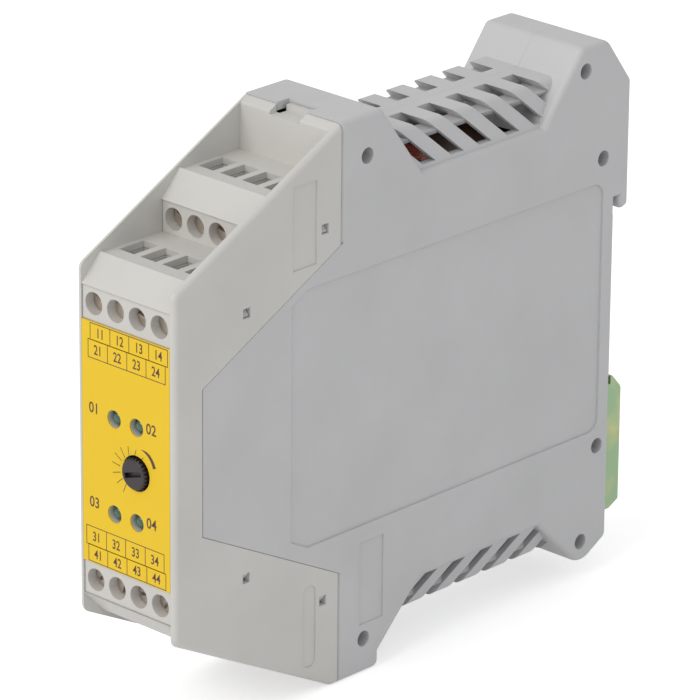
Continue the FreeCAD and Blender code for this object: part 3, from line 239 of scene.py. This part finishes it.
# %% A finish from a few numbers
def finish(name, colour, roughness, cloud=0.03, cloud_size=14.0, grain=0.25, grain_size=0.35,
           grain_depth=0.02, edge=0.15, metallic=0.0, ior=1.5, second=None, second_share=0.0):
    """A moulded or plated surface.  Sizes are in millimetres.

    cloud        how far the colour wanders, as a share of itself
    cloud_size   size of those clouds
    grain        how far the roughness wanders, as a share of itself
    grain_size   size of the surface grain
    grain_depth  height of the surface grain
    edge         radius of softened edges
    second       another colour that shows in patches, more of them with a larger second_share
    """
    material = bpy.data.materials.new(name)
    material.use_nodes = True
    tree = material.node_tree
    shader = tree.nodes["Principled BSDF"]
    shader.inputs["Metallic"].default_value = metallic
    shader.inputs["IOR"].default_value = ior
    where = tree.nodes.new("ShaderNodeTexCoord").outputs["Object"]

    def noise(size_mm, detail):
        node = tree.nodes.new("ShaderNodeTexNoise")
        node.inputs["Scale"].default_value = 1.0 / (size_mm * MM)
        node.inputs["Detail"].default_value = detail
        tree.links.new(where, node.inputs["Vector"])
        return node.outputs["Fac"]

    def ramp(source, low, high, colours):
        node = tree.nodes.new("ShaderNodeValToRGB")
        node.color_ramp.elements[0].position = low
        node.color_ramp.elements[1].position = high
        node.color_ramp.elements[0].color = (*colours[0], 1.0)
        node.color_ramp.elements[1].color = (*colours[1], 1.0)
        tree.links.new(source, node.inputs["Fac"])
        return node.outputs["Color"]

    darker = [v * (1.0 - cloud) for v in colour]
    lighter = [min(1.0, v * (1.0 + cloud)) for v in colour]
    colour_out = ramp(noise(cloud_size, 3.0), 0.3, 0.7, (darker, lighter))
    if second:
        mix = tree.nodes.new("ShaderNodeMix")
        mix.data_type = "RGBA"
        patch_start = (1.0 - second_share) * 0.55
        patches = ramp(noise(cloud_size * 0.6, 4.0), patch_start, patch_start + 0.25,
                       ((0.0, 0.0, 0.0), (1.0, 1.0, 1.0)))
        tree.links.new(patches, mix.inputs["Factor"])
        tree.links.new(colour_out, mix.inputs["A"])
        mix.inputs["B"].default_value = (*second, 1.0)
        colour_out = mix.outputs["Result"]
    tree.links.new(colour_out, shader.inputs["Base Color"])
    fine = noise(grain_size, 4.0)
    span = tree.nodes.new("ShaderNodeMapRange")
    span.inputs["To Min"].default_value = roughness * (1.0 - grain)
    span.inputs["To Max"].default_value = min(1.0, roughness * (1.0 + grain))
    tree.links.new(fine, span.inputs["Value"])
    tree.links.new(span.outputs["Result"], shader.inputs["Roughness"])
    soft = tree.nodes.new("ShaderNodeBevel")
    soft.samples = 4
    soft.inputs["Radius"].default_value = edge * MM
    bump = tree.nodes.new("ShaderNodeBump")
    bump.inputs["Strength"].default_value = 1.0
    bump.inputs["Distance"].default_value = grain_depth * MM
    tree.links.new(fine, bump.inputs["Height"])
    tree.links.new(soft.outputs["Normal"], bump.inputs["Normal"])
    tree.links.new(bump.outputs["Normal"], shader.inputs["Normal"])
    return material


def dress(material, *names):
    """Give a finish to every listed node of the frame."""
    for name in names:
        mesh = nodes[name].data
        mesh.materials.clear()
        mesh.materials.append(material)
    print(material.name, "on", len(names), "nodes")


# %% Names that repeat
TIERS = ("top_front", "top_rear", "bottom_front", "bottom_rear")
POLES = (1, 2, 3, 4)


def at_each_tier(name):
    return [name + "_" + tier for tier in TIERS]


def at_each_pole(name):
    return ["%s_%d" % (place, pole) for place in at_each_tier(name) for pole in POLES]


print(len(at_each_pole("terminal_screw")), "poles")

# %% [markdown]
# ## Moulded grey plastic
#
# Shells, cover and terminal blocks come from one grey polyamide.  It is matt, slightly cloudy, and
# has a fine spark-eroded grain.  The cover and the blocks are moulded apart from the shells and are
# a touch warmer, so each gets a finish of its own from the same helper.

# %% Shells, cover and terminal blocks
SHELL_GREY = (0.575, 0.575, 0.582)
COVER_GREY = (0.630, 0.618, 0.590)
TERMINAL_GREY = (0.615, 0.600, 0.572)

dress(finish("shell_grey_plastic", SHELL_GREY, 0.55, grain_depth=0.010), "housing_left", "housing_right")
dress(finish("cover_grey_plastic", COVER_GREY, 0.52, grain_depth=0.008), "front_cover")
dress(finish("terminal_grey_plastic", TERMINAL_GREY, 0.52, grain_depth=0.008),
      *at_each_tier("terminal_block"))

# %% [markdown]
# ## Label film
#
# The label is a printed polyester film: an even warm yellow with a weak gloss.

# %% Yellow film
FILM_YELLOW = (0.860, 0.570, 0.008)

dress(finish("yellow_film", FILM_YELLOW, 0.55, cloud=0.012, grain_depth=0.003, edge=0.05), "front_label")

# %% [markdown]
# ## Metal pieces
#
# Screws and cages are zinc plated steel and the bars are tinned brass.  The foot latch is
# chromated, which leaves patches of yellow and green.  A second colour over the first one, laid
# in patches by a noise, gives that film without a picture.

# %% Screws, cages, bars and spring
SCREW_ZINC = (0.62, 0.54, 0.47)
CAGE_ZINC = (0.50, 0.50, 0.48)
TINNED_BRASS = (0.62, 0.55, 0.40)
SPRING_GREY = (0.42, 0.42, 0.41)

dress(finish("zinc_plated_screw", SCREW_ZINC, 0.42, cloud=0.10, cloud_size=2.0, grain_size=0.12,
             grain_depth=0.004, edge=0.06, metallic=1.0), *at_each_pole("terminal_screw"))
dress(finish("zinc_plated_cage", CAGE_ZINC, 0.38, cloud=0.08, cloud_size=3.0, grain_size=0.15,
             grain_depth=0.005, edge=0.08, metallic=1.0), *at_each_pole("clamp_cage"))
dress(finish("tinned_brass", TINNED_BRASS, 0.36, cloud=0.08, cloud_size=3.0, grain_depth=0.004,
             edge=0.06, metallic=1.0), *at_each_tier("contact_bars"))
dress(finish("spring_wire", SPRING_GREY, 0.30, cloud=0.06, cloud_size=1.5, grain_size=0.1,
             grain_depth=0.003, edge=0.05, metallic=1.0), "latch_spring")

# %% Foot latch
CHROMATE_YELLOW = (0.47, 0.50, 0.24)
CHROMATE_GREEN = (0.30, 0.44, 0.26)

dress(finish("chromated_steel", CHROMATE_YELLOW, 0.36, cloud=0.12, cloud_size=9.0, grain_size=0.3,
             grain_depth=0.008, edge=0.25, metallic=0.55, second=CHROMATE_GREEN, second_share=0.45),
      "foot_latch")

# %% [markdown]
# ## Knob, lamps and electronics
#
# The knob is black with a breath of purple.  The lamps are tinted green domes, unlit, so they read
# nearly black with a clear highlight, which a clear coat over the tint gives.  Of the pieces inside,
# the brown relays and the red capacitor show between the louvres.

# %% Knob and lamps
KNOB_BLACK = (0.022, 0.014, 0.018)
LAMP_GREEN = (0.020, 0.095, 0.060)
LAMP_COAT = 0.6

dress(finish("knob_black_plastic", KNOB_BLACK, 0.42, cloud=0.10, cloud_size=3.0, grain_size=0.2,
             grain_depth=0.006, edge=0.10), "time_knob")
lamp_finish = finish("tinted_lamp", LAMP_GREEN, 0.12, cloud=0.10, cloud_size=2.0,
                     grain_depth=0.0005, edge=0.04)
lamp_finish.node_tree.nodes["Principled BSDF"].inputs["Coat Weight"].default_value = LAMP_COAT
dress(lamp_finish, "status_leds")

# %% Boards and what stands on them
BOARD_GREEN = (0.030, 0.150, 0.065)
HEADER_BLACK = (0.022, 0.022, 0.024)
RELAY_BROWN = (0.105, 0.052, 0.032)
CORE_BLACK = (0.040, 0.038, 0.036)
SLEEVE_BLUE = (0.045, 0.050, 0.075)
DIPPED_RED = (0.560, 0.085, 0.025)
RELAYS = ("relay_1", "relay_2", "relay_3", "relay_4")

dress(finish("green_board", BOARD_GREEN, 0.40, cloud=0.12, cloud_size=5.0, grain_depth=0.006),
      "main_board", "front_board")
dress(finish("header_black_plastic", HEADER_BLACK, 0.45, grain_depth=0.008),
      "board_header", "setting_potentiometer")
dress(finish("relay_brown_plastic", RELAY_BROWN, 0.32, cloud=0.08, grain_depth=0.006), *RELAYS)
dress(finish("lacquered_core", CORE_BLACK, 0.40, cloud=0.15, cloud_size=4.0), "transformer")
dress(finish("capacitor_sleeve", SLEEVE_BLUE, 0.34, cloud=0.06), "electrolytic_capacitors")
dress(finish("dipped_film_capacitor", DIPPED_RED, 0.28, cloud=0.05, edge=0.4), "film_capacitor")

# %% [markdown]
# ## Print on the label
#
# The film carries two small tables, a scale round the knob and numbers by the lamps, all in dark
# brown ink.  Ink is 0.02 mm thick, so each mark is a thin bar laid on the film.  All marks of a
# kind are one mesh, because they were printed in one pass.

# %% Where the label is
label_low, label_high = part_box("front_label")
film_face = label_low.y
label_mid = (label_low.z + label_high.z) / 2


def on_label(x, h):
    """A place on the film, from millimetres right of and above its middle."""
    return Vector((x * MM, film_face, label_mid + h * MM))


print("film face at y =", round(film_face / MM, 2), "mm")

# %% Ink
INK_BROWN = (0.085, 0.030, 0.010)
INK = 0.02 * MM             # thickness
INK_ABOVE = 0.9             # share of the ink that stands above the film

ink_finish = finish("brown_ink", INK_BROWN, 0.45, cloud=0.05, cloud_size=1.0, grain_depth=0.001,
                    edge=0.01)


def ride_label(item):
    """Ink moves with the housing and belongs to the label's film."""
    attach(item, "housing")
    print(item.name + ":", len(item.data.polygons), "faces")


def add_bar(work, start, end, width):
    """A thin bar of ink between two places on the film, in millimetres from its middle."""
    a, b = on_label(*start), on_label(*end)
    along = b - a
    made = bmesh.ops.create_cube(work, size=1.0)["verts"]
    across = Vector((0.0, -1.0, 0.0)).cross(along).normalized() * (width * MM)
    for vert in made:
        sunk = Vector((0.0, (vert.co.z + 0.5 - INK_ABOVE) * INK, 0.0))
        vert.co = a + along * (vert.co.x + 0.5) + across * vert.co.y + sunk


# %% Tables
LINE = 0.13                 # width of the tables' lines


def add_row(work, columns, top, bottom):
    """One row of table cells: two long lines and an upright at each column."""
    add_bar(work, (columns[0] - LINE / 2, top), (columns[-1] + LINE / 2, top), LINE)
    add_bar(work, (columns[0] - LINE / 2, bottom), (columns[-1] + LINE / 2, bottom), LINE)
    for x in columns:
        add_bar(work, (x, top), (x, bottom), LINE)


# each row: the places of its uprights, its top line and its bottom line
ROWS = [((-8.09, -3.52, 0.84, 5.38, 9.65), 21.00, 18.10),
        ((-8.60, -4.10, 0.35, 4.75, 9.12), 18.10, 14.95),
        ((-9.30, -4.65, -0.20, 4.35, 8.70), -14.80, -18.10),
        ((-8.85, -4.40, 0.10, 4.70, 9.10), -18.10, -21.00)]


def tables_mesh(work):
    for columns, top, bottom in ROWS:
        add_row(work, columns, top, bottom)
    bmesh.ops.recalc_face_normals(work, faces=work.faces)


ride_label(finished_object("label_tables", tables_mesh, ink_finish))

# %% [markdown]
# ## The time scale
#
# Short rays stand round the knob, and a wedge grows clockwise to show that the time grows that way.
# The rays' circle sits a little left of the knob, so the hole for the knob cuts the rays on its right
# short.  The wedge starts as a flat grid of one row, whose vertices are then laid round the circle,
# because a spin can't change its width on the way.

# %% Places on the scale
SCALE_CENTRE = (1.13, -2.47)
KNOB_CENTRE, KNOB_HOLE = (2.35, -2.40), 3.1


def on_scale(radius, turn):
    """A place on the film, from a radius and an angle round the scale's centre."""
    return SCALE_CENTRE[0] + radius * math.cos(turn), SCALE_CENTRE[1] + radius * math.sin(turn)


# %% Rays
RAY_OUTER, RAY_INNER = 4.37, 2.5
RAY_COUNT = 11
RAY_FIRST, RAY_STEP = -113.7, 24.66     # degrees, then clockwise
RAY_WIDTH = 0.12
RAY_SHORTEST = 0.15
HOLE_MARGIN = 0.05


def ray_start(turn):
    """Radius at which a ray leaves the knob's hole, or its normal start."""
    offset = [s - k for s, k in zip(SCALE_CENTRE, KNOB_CENTRE)]
    along = offset[0] * math.cos(turn) + offset[1] * math.sin(turn)
    room = along * along - sum(o * o for o in offset) + KNOB_HOLE * KNOB_HOLE
    return max(RAY_INNER, math.sqrt(room) - along + HOLE_MARGIN)


def add_rays(work):
    for ray in range(RAY_COUNT):
        turn = math.radians(RAY_FIRST - ray * RAY_STEP)
        inner = ray_start(turn)
        if RAY_OUTER - inner > RAY_SHORTEST:
            add_bar(work, on_scale(inner, turn), on_scale(RAY_OUTER, turn), RAY_WIDTH)


# %% Wedge
WEDGE_FIRST, WEDGE_SPAN = 62.4, 41.4    # degrees, then clockwise
WEDGE_STEPS = 18
# share of the length, radius of the middle, half of the width
WEDGE = [(0.00, 5.15, 0.03), (0.25, 5.57, 0.22), (0.46, 5.79, 0.30), (0.76, 5.86, 0.33),
         (1.00, 5.84, 0.36)]


def wedge_at(share):
    """Middle radius and half width of the wedge at a share of its length."""
    for (s0, r0, w0), (s1, r1, w1) in zip(WEDGE, WEDGE[1:]):
        if share <= s1 + 1e-6:
            part = (share - s0) / (s1 - s0)
            return r0 + (r1 - r0) * part, w0 + (w1 - w0) * part
    return WEDGE[-1][1:]


def add_wedge(work):
    proud, thickness = 0.6 * INK, 0.8 * INK
    made = bmesh.ops.create_grid(work, x_segments=WEDGE_STEPS, y_segments=1, size=0.5)["verts"]
    for vert in made:
        share, side = vert.co.x + 0.5, vert.co.y * 2
        turn = math.radians(WEDGE_FIRST - WEDGE_SPAN * share)
        middle, half = wedge_at(share)
        vert.co = on_label(*on_scale(middle + side * half, turn)) + Vector((0.0, -proud, 0.0))
    faces = {face for vert in made for face in vert.link_faces}
    grown = bmesh.ops.extrude_face_region(work, geom=list(faces))
    sunk_verts = [item for item in grown["geom"] if isinstance(item, bmesh.types.BMVert)]
    bmesh.ops.translate(work, verts=sunk_verts, vec=(0.0, thickness, 0.0))


# %% The whole scale
def scale_mesh(work):
    add_rays(work)
    add_wedge(work)
    bmesh.ops.recalc_face_normals(work, faces=work.faces)


ride_label(finished_object("time_scale", scale_mesh, ink_finish))

# %% [markdown]
# ## Plain numbers
#
# Terminals are numbered by row and column, and lamps beside their domes.  A text object gives the
# outlines, made narrow as on small printed tags.  It becomes a mesh first and is laid on the film
# afterwards, so the finished piece sits at the origin like every other.

# %% Numbers from text
TEXT_PER_HEIGHT = 1.42      # size of a text whose figures are 1 high
BOLDER = 0.035
CURVE_STEPS = 4
SAME_PLACE = 1e-7           # metres


def number_mesh(text, height):
    """A flat mesh of one number, still lying round the origin."""
    curve = bpy.data.curves.new("number", "FONT")
    curve.body = text
    curve.size = height * TEXT_PER_HEIGHT * MM
    curve.align_x = "CENTER"
    curve.align_y = "CENTER"
    curve.extrude = 0.4 * INK
    curve.offset = BOLDER * MM
    curve.resolution_u = CURVE_STEPS
    holder = bpy.data.objects.new("number", curve)
    scene.collection.objects.link(holder)
    bpy.context.view_layer.update()
    mesh = bpy.data.meshes.new_from_object(holder)
    bpy.data.objects.remove(holder)
    bpy.data.curves.remove(curve)
    return mesh


def numbers_object(name, marks, height, narrow):
    """One piece of many numbers.  marks holds (text, x, h) for each number's centre."""
    upright = Matrix.Rotation(math.pi / 2, 4, "X") @ Matrix.Diagonal((narrow, 1.0, 1.0, 1.0))

    def all_numbers(work):
        for text, x, h in marks:
            mesh = number_mesh(text, height)
            mesh.transform(Matrix.Translation(on_label(x, h)) @ upright)
            work.from_mesh(mesh)
            bpy.data.meshes.remove(mesh)
        bmesh.ops.remove_doubles(work, verts=work.verts, dist=SAME_PLACE)

    return finished_object(name, all_numbers, ink_finish)


# %% Numbers of the terminals
CELL_NUMBER_LOWER = 0.1     # how far a number sits below its cell's middle


def cell_marks():
    """Row and column of each cell, as a number at its middle."""
    marks = []
    for row, (columns, top, bottom) in enumerate(ROWS, 1):
        for column, (left_side, right_side) in enumerate(zip(columns, columns[1:]), 1):
            middle = (left_side + right_side) / 2
            marks.append(("%d%d" % (row, column), middle, (top + bottom) / 2 - CELL_NUMBER_LOWER))
    return marks


ride_label(numbers_object("terminal_numbers", cell_marks(), height=1.65, narrow=0.80))

# %% Numbers of the lamps
LAMP_MARKS = [("01", -7.35, 6.2), ("02", 5.85, 6.1), ("03", -7.35, -10.4), ("04", 5.85, -10.4)]

ride_label(numbers_object("lamp_numbers", LAMP_MARKS, height=1.85, narrow=0.90))
